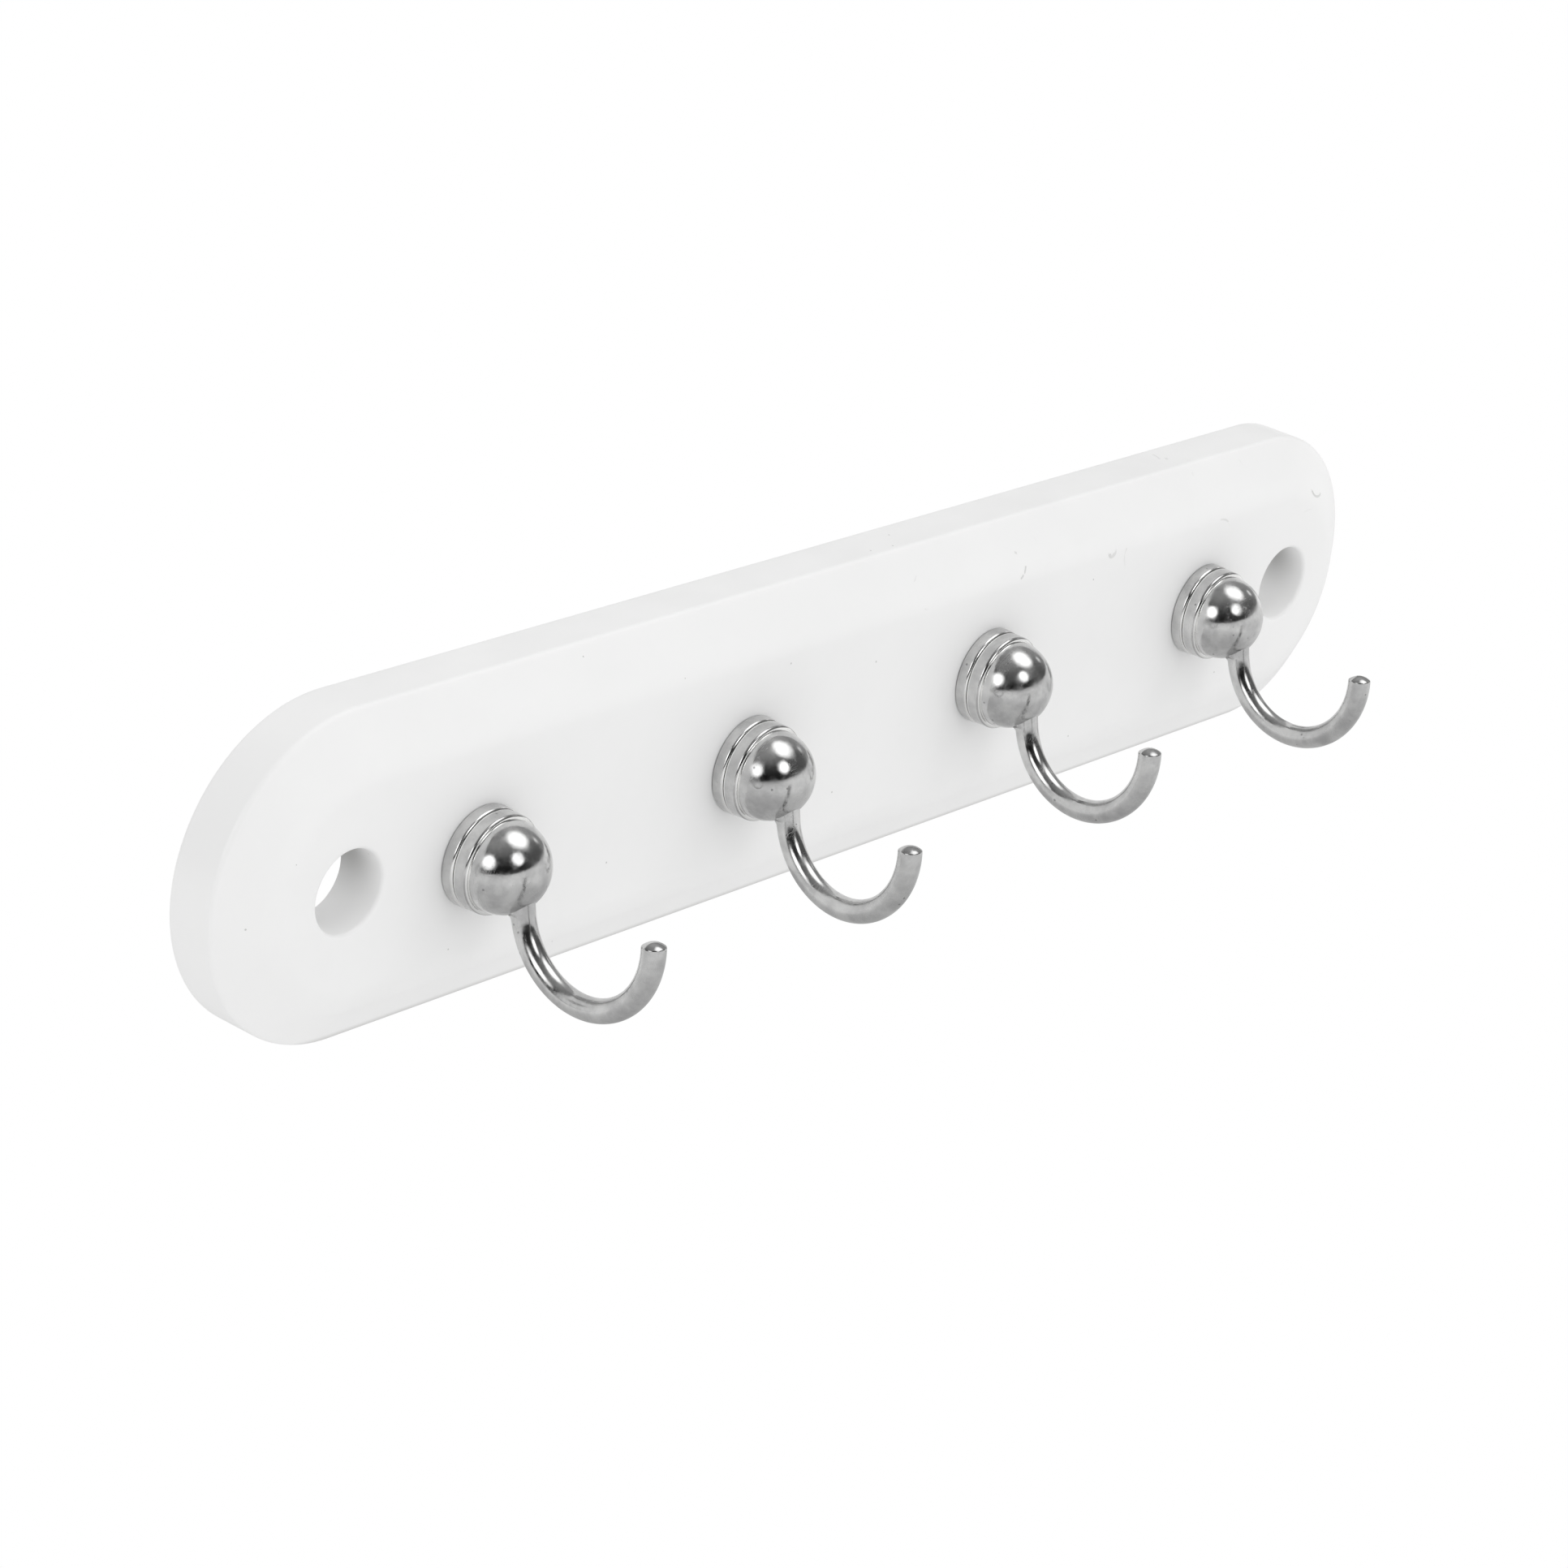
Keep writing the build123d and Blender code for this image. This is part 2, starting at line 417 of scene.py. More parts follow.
def make_scratch_group():
    """Thin, broken hairlines in two slanting directions: 1 in a scratch and 0 elsewhere."""
    group, start, end = new_group("scratches", {"Scale": 60.0, "Width": 0.006}, ["Mask"])
    link = group.links.new
    masks = []
    for row, (turn, stretch) in enumerate(SCRATCH_LAYERS):
        y = -300 * row
        turned = node(group, "ShaderNodeMapping", (-700, y), Rotation=turn, Scale=(1, stretch, 1))
        lines = node(group, "ShaderNodeTexVoronoi", (-500, y), feature="DISTANCE_TO_EDGE")
        thin = node(group, "ShaderNodeMath", (-300, y), operation="LESS_THAN")
        breaks = node(group, "ShaderNodeTexNoise", (-500, y - 150), Detail=2.0)
        patchy = node(group, "ShaderNodeMath", (-300, y - 150), operation="GREATER_THAN")
        patchy.inputs[1].default_value = SCRATCHED_ABOVE
        both = node(group, "ShaderNodeMath", (-100, y), operation="MULTIPLY")
        link(start.outputs["Vector"], turned.inputs["Vector"])
        link(turned.outputs["Vector"], lines.inputs["Vector"])
        link(start.outputs["Scale"], lines.inputs["Scale"])
        link(lines.outputs["Distance"], thin.inputs[0])
        link(start.outputs["Width"], thin.inputs[1])
        link(start.outputs["Vector"], breaks.inputs["Vector"])
        link(start.outputs["Scale"], breaks.inputs["Scale"])
        link(breaks.outputs["Fac"], patchy.inputs[0])
        link(thin.outputs["Value"], both.inputs[0])
        link(patchy.outputs["Value"], both.inputs[1])
        masks.append(both)
    either = node(group, "ShaderNodeMath", (200, 0), operation="MAXIMUM")
    link(masks[0].outputs["Value"], either.inputs[0])
    link(masks[1].outputs["Value"], either.inputs[1])
    link(either.outputs["Value"], end.inputs["Mask"])
    return group


SCRATCHES = make_scratch_group()
print("scratch nodes", len(SCRATCHES.nodes))

# %% [markdown]
# Dust in paint and pits in plating are both small round specks with clear space between them. Each
# is the middle of a cell, and a share of the cells is chosen by their random colour.

# %% Specks
def make_speck_group():
    """Scattered round specks, such as dust or pits: 1 in a speck and 0 elsewhere."""
    group, start, end = new_group("specks", {"Scale": 500.0, "Size": 0.1, "Share": 0.1}, ["Mask"])
    cells = node(group, "ShaderNodeTexVoronoi", (-600, 0))
    dots = node(group, "ShaderNodeMath", (-300, 100), operation="LESS_THAN")
    colour = node(group, "ShaderNodeSeparateColor", (-400, -150))
    chosen = node(group, "ShaderNodeMath", (-200, -150), operation="LESS_THAN")
    both = node(group, "ShaderNodeMath", (100, 0), operation="MULTIPLY")
    link = group.links.new
    link(start.outputs["Vector"], cells.inputs["Vector"])
    link(start.outputs["Scale"], cells.inputs["Scale"])
    link(cells.outputs["Distance"], dots.inputs[0])
    link(start.outputs["Size"], dots.inputs[1])
    link(cells.outputs["Color"], colour.inputs["Color"])
    link(colour.outputs["Red"], chosen.inputs[0])
    link(start.outputs["Share"], chosen.inputs[1])
    link(dots.outputs["Value"], both.inputs[0])
    link(chosen.outputs["Value"], both.inputs[1])
    link(both.outputs["Value"], end.inputs["Mask"])
    return group


SPECKS = make_speck_group()
print("speck nodes", len(SPECKS.nodes))

# %% [markdown]
# A scuff is where something round, such as a hanger's hook, has rubbed: a piece of an arc. The arcs
# are thin shells round scattered points, and a noise breaks each one off after a short way.

# %% Scuffs
# The breaks are finer than the arcs by this many times, and an arc shows where they're above this.
BREAKS_FINER = 2.2
SCUFFED_ABOVE = 0.58


def make_scuff_group():
    """Short, thin arcs: 1 in a scuff and 0 elsewhere. Radius and Width are shares of a cell."""
    inputs = {"Scale": 60.0, "Radius": 0.3, "Width": 0.01}
    group, start, end = new_group("scuffs", inputs, ["Mask"])
    cells = node(group, "ShaderNodeTexVoronoi", (-600, 0))
    shell = node(group, "ShaderNodeMath", (-300, 100), operation="COMPARE")
    breaks = node(group, "ShaderNodeTexNoise", (-600, -300), Detail=3.0)
    denser = node(group, "ShaderNodeMath", (-800, -300), operation="MULTIPLY")
    denser.inputs[1].default_value = BREAKS_FINER
    piece = node(group, "ShaderNodeMath", (-300, -300), operation="GREATER_THAN")
    piece.inputs[1].default_value = SCUFFED_ABOVE
    both = node(group, "ShaderNodeMath", (100, 0), operation="MULTIPLY")
    link = group.links.new
    link(start.outputs["Vector"], cells.inputs["Vector"])
    link(start.outputs["Scale"], cells.inputs["Scale"])
    link(cells.outputs["Distance"], shell.inputs[0])
    link(start.outputs["Radius"], shell.inputs[1])
    link(start.outputs["Width"], shell.inputs[2])
    link(start.outputs["Vector"], breaks.inputs["Vector"])
    link(start.outputs["Scale"], denser.inputs[0])
    link(denser.outputs["Value"], breaks.inputs["Scale"])
    link(breaks.outputs["Fac"], piece.inputs[0])
    link(shell.outputs["Value"], both.inputs[0])
    link(piece.outputs["Value"], both.inputs[1])
    link(both.outputs["Value"], end.inputs["Mask"])
    return group


SCUFFS = make_scuff_group()
print("scuff nodes", len(SCUFFS.nodes))

# %% [markdown]
# Small helpers place nodes in a finish, so that each finish below reads as a short recipe.

# %% Recipe helpers: start a finish and place an effect
def new_finish(name):
    """A material with a Principled shader and the piece's own coordinates."""
    finish = bpy.data.materials.new(name)
    finish.use_nodes = True
    tree = finish.node_tree
    shader = tree.nodes["Principled BSDF"]
    where = node(tree, "ShaderNodeTexCoord", (-1300, 0))
    return finish, tree, shader, where.outputs["Object"]


def effect(tree, group, where, place, **values):
    """Places a node group, feeds it the coordinates and sets its inputs; returns its output."""
    made = node(tree, "ShaderNodeGroup", place, node_tree=group)
    tree.links.new(where, made.inputs["Vector"])
    for name, value in values.items():
        made.inputs[name].default_value = value
    return made.outputs[0]

# %% Recipe helpers: mix and reckon
def blend(tree, amount, below, above, place):
    """Mixes two colours, or two sockets, by a mask."""
    mix = node(tree, "ShaderNodeMix", place, data_type="RGBA")
    tree.links.new(amount, mix.inputs["Factor"])
    for socket, value in ((mix.inputs["A"], below), (mix.inputs["B"], above)):
        if isinstance(value, tuple):
            socket.default_value = (*value, 1)
        else:
            tree.links.new(value, socket)
    return mix.outputs["Result"]


def combine(tree, operation, first, second, place):
    """One maths step on two sockets or numbers."""
    step = node(tree, "ShaderNodeMath", place, operation=operation)
    for socket, value in zip(step.inputs, (first, second)):
        if isinstance(value, (int, float)):
            socket.default_value = value
        else:
            tree.links.new(value, socket)
    return step.outputs["Value"]


def fade_between(tree, value, low, high, place):
    """Rises from 0 at low to 1 at high, or falls from 1 to 0 if high is the lower."""
    fade = node(tree, "ShaderNodeMapRange", place, From_Min=low, From_Max=high)
    fade.interpolation_type = "SMOOTHSTEP"
    tree.links.new(value, fade.inputs["Value"])
    return fade.outputs["Result"]

# %% Recipe helpers: coordinates and bump
def axes(tree, where, place):
    """The x, y and z of the coordinates; y is minus the depth."""
    split = node(tree, "ShaderNodeSeparateXYZ", place)
    tree.links.new(where, split.inputs["Vector"])
    return [split.outputs[axis] for axis in "XYZ"]


def add_bump(tree, shader, height, strength, distance):
    """Shades the surface as if it rose by the height, of which 1 stands for the distance."""
    bump = node(tree, "ShaderNodeBump", (-300, -500), Strength=strength, Distance=distance)
    tree.links.new(height, bump.inputs["Height"])
    tree.links.new(bump.outputs["Normal"], shader.inputs["Normal"])

# %% [markdown]
# ## Finishes
# The board is sprayed satin white. Two kinds of place are painted grey as shade: inside the
# wall-screw holes, most of all deep in their upper half, and a thin line along the lower edge,
# where the bevel ends. Handling has scuffed the upper bevel. Each of these places is a mask, worked
# out from the coordinates.

# %% Mask inside the wall-screw holes
# The grey in the wall-screw holes is painted shade: darker with depth and in their upper half,
# which faces down.
HOLE_SOFT_RIM = 0.8 * MM
HOLE_SHADE_DEPTHS = (board["front"] + 1 * MM, 7 * MM)
HOLE_SHADE_HEIGHTS = (-6.5 * MM, 3.5 * MM)


def in_wall_holes(tree, where):
    """Mask of the painted shade in the two wall-screw holes: 0 outside, rising to 1 deep in the
    upper half.
    """
    x, y, z = axes(tree, where, (-1500, -800))
    either_side = combine(tree, "ABSOLUTE", x, 0.0, (-1300, -800))
    across = combine(tree, "SUBTRACT", either_side, WALL_HOLE_X, (-1100, -800))
    flat = node(tree, "ShaderNodeCombineXYZ", (-900, -800))
    tree.links.new(across, flat.inputs["X"])
    tree.links.new(z, flat.inputs["Y"])
    reach = node(tree, "ShaderNodeVectorMath", (-700, -800), operation="LENGTH")
    tree.links.new(flat.outputs["Vector"], reach.inputs[0])
    rim = WALL_HOLE_RADIUS + HOLE_SOFT_RIM
    inside = fade_between(tree, reach.outputs["Value"], rim, WALL_HOLE_RADIUS, (-500, -800))
    deep = fade_between(tree, y, -HOLE_SHADE_DEPTHS[0], -HOLE_SHADE_DEPTHS[1], (-500, -1000))
    upper = fade_between(tree, z, *HOLE_SHADE_HEIGHTS, (-500, -1100))
    thin = combine(tree, "MULTIPLY", inside, deep, (-300, -800))
    return combine(tree, "MULTIPLY", thin, upper, (-100, -800))

# %% Masks along the lower edge and on the upper bevel
# The thin grey line along the lower edge is painted shade, where the lower crease faces down.
EDGE_SHADE_ABOVE_EDGE = (2 * MM, 0.3 * MM)
EDGE_SHADE_DEPTHS = (6 * MM, 8.5 * MM)
HANDLED_HEIGHTS = (14 * MM, 18 * MM)
HANDLED_FROM = (-60 * MM, -35 * MM)


def along_lower_edge(tree, where):
    """1 in a thin line of painted shade along the lower edge of the bevel and 0 elsewhere."""
    x, y, z = axes(tree, where, (-1500, -1600))
    faint, full = (above - END_RADIUS for above in EDGE_SHADE_ABOVE_EDGE)
    low = fade_between(tree, z, faint, full, (-1300, -1600))
    outer = fade_between(tree, y, -EDGE_SHADE_DEPTHS[0], -EDGE_SHADE_DEPTHS[1], (-1300, -1800))
    return combine(tree, "MULTIPLY", low, outer, (-1100, -1600))


def where_handled(tree, where):
    """1 at the height of the upper bevel, back and front, and 0 on the face and far left."""
    x, y, z = axes(tree, where, (-1500, -1200))
    high = fade_between(tree, z, *HANDLED_HEIGHTS, (-1300, -1200))
    along = fade_between(tree, x, *HANDLED_FROM, (-1300, -1400))
    return combine(tree, "MULTIPLY", high, along, (-1100, -1200))

# %% [markdown]
# Sprayed paint is never quite even. Its white and its gloss drift, it has a faint orange-peel
# texture, and it picks up dust. Over that go the scuffs, which are faint, broken and a little sunk,
# then the painted shade inside the wall-screw holes, which are also made duller, and the painted
# shade along the lower edge.

# %% White paint
PAINT = {
    "drift": ((0.880, 0.880, 0.878), (0.900, 0.900, 0.898)),
    "dust": (0.60, 0.60, 0.59),
    "scuff": (0.62, 0.62, 0.61),
    # Painted shade inside the wall-screw holes.
    "hole_shade": (0.42, 0.42, 0.415),
    # Painted shade along the lower edge.
    "edge_shade": (0.66, 0.66, 0.65),
}


def make_white_paint():
    finish, tree, shader, where = new_finish("white_paint")
    drift = effect(tree, MOTTLE, where, (-900, 300), Scale=28.0, Low=0.0, High=1.0)
    colour = blend(tree, drift, *PAINT["drift"], (-700, 300))
    specks = effect(tree, SPECKS, where, (-900, 100), Scale=520.0, Size=0.10, Share=0.012)
    colour = blend(tree, specks, colour, PAINT["dust"], (-500, 300))
    scuffs = effect(tree, SCUFFS, where, (-900, -100), Scale=75.0, Radius=0.36, Width=0.012)
    handled = effect(tree, MOTTLE, where, (-900, -200), Scale=24.0, Low=-0.9, High=1.0)
    worn = combine(tree, "MULTIPLY", where_handled(tree, where), handled, (-700, -200))
    faint = combine(tree, "MAXIMUM", worn, 0.0, (-600, -200))
    marks = combine(tree, "MULTIPLY", scuffs, faint, (-500, -100))
    colour = blend(tree, marks, colour, PAINT["scuff"], (-300, 300))
    # The grey inside the wall-screw holes is painted shade; the same mask makes them rougher.
    thin = in_wall_holes(tree, where)
    colour = blend(tree, thin, colour, PAINT["hole_shade"], (-150, 300))
    # A thin line of painted shade along the lower edge.
    colour = blend(tree, along_lower_edge(tree, where), colour, PAINT["edge_shade"], (0, 300))
    tree.links.new(colour, shader.inputs["Base Color"])
    gloss = effect(tree, MOTTLE, where, (-900, -300), Scale=90.0, Low=0.34, High=0.46)
    dull = combine(tree, "MAXIMUM", gloss, thin, (-600, -300))
    tree.links.new(dull, shader.inputs["Roughness"])
    peel = node(tree, "ShaderNodeTexNoise", (-900, -500), Scale=900.0, Detail=2.0)
    tree.links.new(where, peel.inputs["Vector"])
    relief = combine(tree, "SUBTRACT", peel.outputs["Fac"], marks, (-600, -500))
    add_bump(tree, shader, relief, strength=0.25, distance=0.04 * MM)
    shader.inputs["Specular IOR Level"].default_value = 0.45
    return finish


white_paint = make_white_paint()
print("white paint nodes", len(white_paint.node_tree.nodes))

# %% [markdown]
# The hooks are bright nickel plate over a casting. A light band where the collar and the knob meet
# the part behind is a painted glint, and a dark band in the two joints nearest the board is painted
# shade. Both lie at the joints of the stack, so each is a band of depths about the back of one
# part.

# %% Joints of the stack
# Half the width of each band, by the part whose back is at the joint.
# Bands of painted glint.
PAINTED_GLINT_BANDS = {"collar_ring": 0.50 * MM, "knob": 0.25 * MM}
# Bands of painted shade.
PAINTED_SHADE_BANDS = {"base_ring": 0.20 * MM, "collar_ring": 0.10 * MM}


def near_joint(tree, where, kind, half_width, y):
    """1 where a part of the stack meets the one behind it and 0 elsewhere, from the depth alone."""
    minus_depth = axes(tree, where, (-1500, y))[1]
    joint_depth = size_of(f"{kind}_{HOOKS[0]}")["back"]
    off = combine(tree, "ADD", minus_depth, joint_depth, (-1300, y))
    away = combine(tree, "ABSOLUTE", off, 0.0, (-1100, y))
    return fade_between(tree, away, half_width, half_width / 2, (-900, y))


print("joint bands", [*PAINTED_GLINT_BANDS, *PAINTED_SHADE_BANDS])

# %% [markdown]
# The plate is a mirror, but the casting under it ripples a little, so reflections wobble. A thin
# grey bloom dulls it in patches, and there are a few pits and hairlines.

# %% Nickel plate
NICKEL = {
    "bloom": ((0.51, 0.51, 0.51), (0.69, 0.69, 0.685)),
    "pit": (0.33, 0.33, 0.33),
    # A painted glint.
    "glint": (0.92, 0.92, 0.91),
    # Painted shade in the joints.
    "joint_shade": (0.16, 0.16, 0.155),
}


def make_nickel_plate():
    finish, tree, shader, where = new_finish("nickel_plate")
    bloom = effect(tree, MOTTLE, where, (-900, 300), Scale=230.0, Low=0.0, High=1.0)
    colour = blend(tree, bloom, *NICKEL["bloom"], (-600, 300))
    pits = effect(tree, SPECKS, where, (-900, 100), Scale=900.0, Size=0.2, Share=0.06)
    colour = blend(tree, pits, colour, NICKEL["pit"], (-400, 300))
    # Lighter bands at the joints are a painted glint; darker ones are painted shade.
    marks = [(*band, NICKEL["glint"]) for band in PAINTED_GLINT_BANDS.items()]
    marks += [(*band, NICKEL["joint_shade"]) for band in PAINTED_SHADE_BANDS.items()]
    for step, (kind, half_width, tint) in enumerate(marks):
        beside = near_joint(tree, where, kind, half_width, 900 + 200 * step)
        colour = blend(tree, beside, colour, tint, (200 * step - 200, 300))
    tree.links.new(colour, shader.inputs["Base Color"])
    haze = effect(tree, MOTTLE, where, (-900, -100), Scale=420.0, Low=0.09, High=0.26)
    hairlines = effect(tree, SCRATCHES, where, (-900, -300), Scale=240.0, Width=0.01)
    worn = combine(tree, "MULTIPLY", hairlines, 0.2, (-600, -300))
    rough = combine(tree, "ADD", haze, worn, (-400, -100))
    tree.links.new(rough, shader.inputs["Roughness"])
    shader.inputs["Metallic"].default_value = 1.0
    ripple = node(tree, "ShaderNodeTexNoise", (-900, -500), Scale=320.0, Detail=3.0)
    tree.links.new(where, ripple.inputs["Vector"])
    relief = combine(tree, "SUBTRACT", ripple.outputs["Fac"], pits, (-600, -500))
    add_bump(tree, shader, relief, strength=0.5, distance=0.08 * MM)
    return finish


nickel_plate = make_nickel_plate()
print("nickel plate nodes", len(nickel_plate.node_tree.nodes))

# %% [markdown]
# The screws and washers behind the board are cheap zinc-plated steel: greyer, duller and more
# scratched than the hooks, and darker in patches where the plating has begun to tarnish.

# %% Zinc plate
TARNISH = ((0.50, 0.51, 0.52), (0.64, 0.65, 0.66))


def make_zinc_plate():
    finish, tree, shader, where = new_finish("zinc_steel")
    tarnish = effect(tree, MOTTLE, where, (-900, 300), Scale=500.0, Low=0.0, High=1.0)
    colour = blend(tree, tarnish, *TARNISH, (-600, 300))
    tree.links.new(colour, shader.inputs["Base Color"])
    scratches = effect(tree, SCRATCHES, where, (-900, 0), Scale=500.0, Width=0.02)
    worn = combine(tree, "MULTIPLY", scratches, 0.25, (-600, 0))
    rough = combine(tree, "ADD", worn, 0.28, (-400, 0))
    tree.links.new(rough, shader.inputs["Roughness"])
    shader.inputs["Metallic"].default_value = 1.0
    add_bump(tree, shader, scratches, strength=0.3, distance=0.04 * MM)
    return finish


zinc_steel = make_zinc_plate()
print("zinc plate nodes", len(zinc_steel.node_tree.nodes))

# %% [markdown]
# ## Making and placing a piece
# Every piece is a bmesh that becomes one object at the origin, with its place in its mesh. Faces
# are smooth, and corners sharper than about 35 degrees are kept crisp. Each piece rides on the one
# body, and stands for the CAD node of the same place.

# %% Finish a piece
CRISP = radians(35)
MERGE = 0.001 * MM
BODY = next(iter(frame["bodies"]))


def finish_piece(bm, name, cad_node, finish):
    bmesh.ops.remove_doubles(bm, verts=bm.verts, dist=MERGE)
    bmesh.ops.recalc_face_normals(bm, faces=bm.faces)
    for face in bm.faces:
        face.smooth = True
    mesh = bpy.data.meshes.new(name)
    bm.to_mesh(mesh)
    bm.free()
    mesh.set_sharp_from_angle(angle=CRISP)
    mesh.materials.append(finish)
    piece = bpy.data.objects.new(name, mesh)
    bpy.context.scene.collection.objects.link(piece)
    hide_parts(cad_node)
    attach(piece, BODY)
    return piece


print("the body is", BODY)

# %% [markdown]
# Circles are the start of everything here, because every section of the rail is round or is made
# of two half circles. A loop of edges grows into a surface one step at a time: it's extruded, and
# its new vertices are put where a rule says. Corners are rounded by the bevel operator.

# %% Loops of edges
def once_each(items):
    """Each item once, in the order in which they come."""
    return list(dict.fromkeys(items))


def circle(bm, radius, depth, segments, x=0.0, z=0.0):
    """Edges of a circle parallel to the wall."""
    made = bmesh.ops.create_circle(bm, segments=segments, radius=radius)
    turn = Matrix.Translation((x, -depth, z)) @ Matrix.Rotation(pi / 2, 4, "X")
    bmesh.ops.transform(bm, matrix=turn, verts=made["verts"])
    return once_each(edge for vert in made["verts"] for edge in vert.link_edges)


def verts_of(edges):
    return once_each(vert for edge in edges for vert in edge.verts)


def step_loop(bm, loop, place):
    """Extrudes a loop of edges, puts each new vertex where place says; returns the new loop."""
    geom = bmesh.ops.extrude_edge_only(bm, edges=loop)["geom"]
    fresh = {g for g in geom if isinstance(g, bmesh.types.BMVert)}
    for vert in fresh:
        vert.co = place(vert.co)
    return [g for g in geom if isinstance(g, bmesh.types.BMEdge) and fresh.issuperset(g.verts)]


def soften(bm, edges, offset, segments):
    bmesh.ops.bevel(
        bm, geom=edges, offset=offset, offset_type="OFFSET", segments=segments,
        profile=0.5, affect="EDGES", material=-1,
    )

# %% [markdown]
# ## The board
# The board is a strip of wood fibre with half-round ends and a wide bevel, softened where it meets
# the face. Its outline is a circle pulled apart in the middle. The same outline is drawn again,
# smaller or further out, for each line of the moulding, and every loop is extruded from the last.

# %% Outline
END_SEGMENTS = 128


def on_outline(inset, depth):
    """Where a point of the outline goes when the outline is drawn inwards and moved out."""
    def place(point):
        middle = Vector((HALF_STRAIGHT if point.x > 0 else -HALF_STRAIGHT, 0, 0))
        way = Vector((point.x - middle.x, 0, point.z)).normalized()
        return middle + way * (END_RADIUS - inset) + Vector((0, -depth, 0))
    return place


def outline(bm, inset, depth):
    """Edges of the board's outline: a circle with its halves pulled apart."""
    edges = circle(bm, END_RADIUS - inset, depth, END_SEGMENTS)
    for vert in verts_of(edges):
        vert.co.x += HALF_STRAIGHT if vert.co.x > 0 else -HALF_STRAIGHT
    return edges


print("outline", round((2 * pi * END_RADIUS + 4 * HALF_STRAIGHT) / MM), "mm round")

# %% [markdown]
# Six holes go right through: two large ones for the wall screws, which widen behind, and one small
# one for each hook's screw, which ends in a pocket. They could be cut with booleans, but loops down
# each hole leave clean strips of faces.

# %% Holes
# Each row is the (radius, depth) of one rim, from the face to the back. A wall-screw hole has a
# strip round it at each end, so that its roundings stay clear of the flat fill.
FACE = board["front"]
FRONT_STRIP, BACK_STRIP = 2 * MM, 1 * MM
RELIEF, RELIEF_DEPTH = 15.0 * MM, 5.2 * MM
POCKET, POCKET_DEPTH = 5.5 * MM, 5.0 * MM
CLEARANCE = 2.2 * MM
WALL_HOLE_RIMS = (
    (WALL_HOLE_RADIUS + FRONT_STRIP, FACE),
    (WALL_HOLE_RADIUS, FACE),
    (WALL_HOLE_RADIUS, RELIEF_DEPTH),
    (RELIEF, RELIEF_DEPTH),
    (RELIEF, 0),
    (RELIEF + BACK_STRIP, 0),
)
HOOK_HOLE_RIMS = (
    (CLEARANCE, FACE), (CLEARANCE, POCKET_DEPTH), (POCKET, POCKET_DEPTH), (POCKET, 0),
)
WALL_HOLE_SEGMENTS, HOOK_HOLE_SEGMENTS = 96, 48


def on_circle(spot, radius, depth):
    """Where a point of a hole's rim goes when the hole widens, narrows or deepens."""
    def place(point):
        way = Vector((point.x - spot.x, 0, point.z - spot.z)).normalized()
        return spot + Vector((0, -depth, 0)) + way * radius
    return place


def hole_loops(bm, spot, rims, segments):
    """Loops of edges down one hole, from the face to the back."""
    loops = [circle(bm, *rims[0], segments, x=spot.x, z=spot.z)]
    for radius, depth in rims[1:]:
        loops.append(step_loop(bm, loops[-1], on_circle(spot, radius, depth)))
    return loops


print("2 wall-screw holes,", len(HOOKS), "hook holes")

# %% [markdown]
# A smooth-shaded face that ends in a rounding would borrow some of the rounding's shading. A cut
# round the rim, just inside each flat part, keeps its shading flat.

# %% Lines that hold the shading
BEVEL_WIDTH, BEVEL_RISE = 9.1 * MM, 5.5 * MM
WALL_TOP = FACE - BEVEL_RISE
LINE_DEPTHS = (1.2 * MM, WALL_TOP - 0.8 * MM, WALL_TOP + 0.7 * MM, FACE - 1.6 * MM)
# Each rounding is (width, segments).
BROW, CREASE, BACK_EDGE, HOLE_LIP = (2.6 * MM, 12), (0.7 * MM, 5), (0.5 * MM, 4), (0.8 * MM, 5)
# A face belongs to the rim if its normal leans away from straight out by more than this.
RIM_LEAN = 0.2


def is_outer(face):
    """True for a face of the board's rim, and false for the flat faces and the holes."""
    if max(abs(face.normal.x), abs(face.normal.z)) <= RIM_LEAN:
        return False
    middle = face.calc_center_median()
    across = max(abs(middle.x) - HALF_STRAIGHT, 0)
    return sqrt(across ** 2 + middle.z ** 2) > END_RADIUS - BEVEL_WIDTH - BROW[0]


def support_line(bm, depth):
    """Cuts a line round the outside of the board at one depth."""
    outside = [f for f in bm.faces if is_outer(f)]
    edges = once_each(e for f in outside for e in f.edges)
    bmesh.ops.bisect_plane(
        bm, geom=outside + edges + verts_of(edges),
        plane_co=(0, -depth, 0), plane_no=(0, 1, 0), dist=MERGE,
    )


print("shading held at depths", [round(depth / MM, 1) for depth in LINE_DEPTHS], "mm")

# %% [markdown]
# The flat face and the flat back are filled last, round the holes, and then the corners are
# rounded: the holes' lips, the brow where the bevel meets the face, the crease where it meets the
# edge, and the edge at the back.

# %% Board
RIM_STRIP = 4 * MM


def flat_fill(bm, edges):
    bmesh.ops.triangle_fill(bm, use_beauty=True, edges=edges)


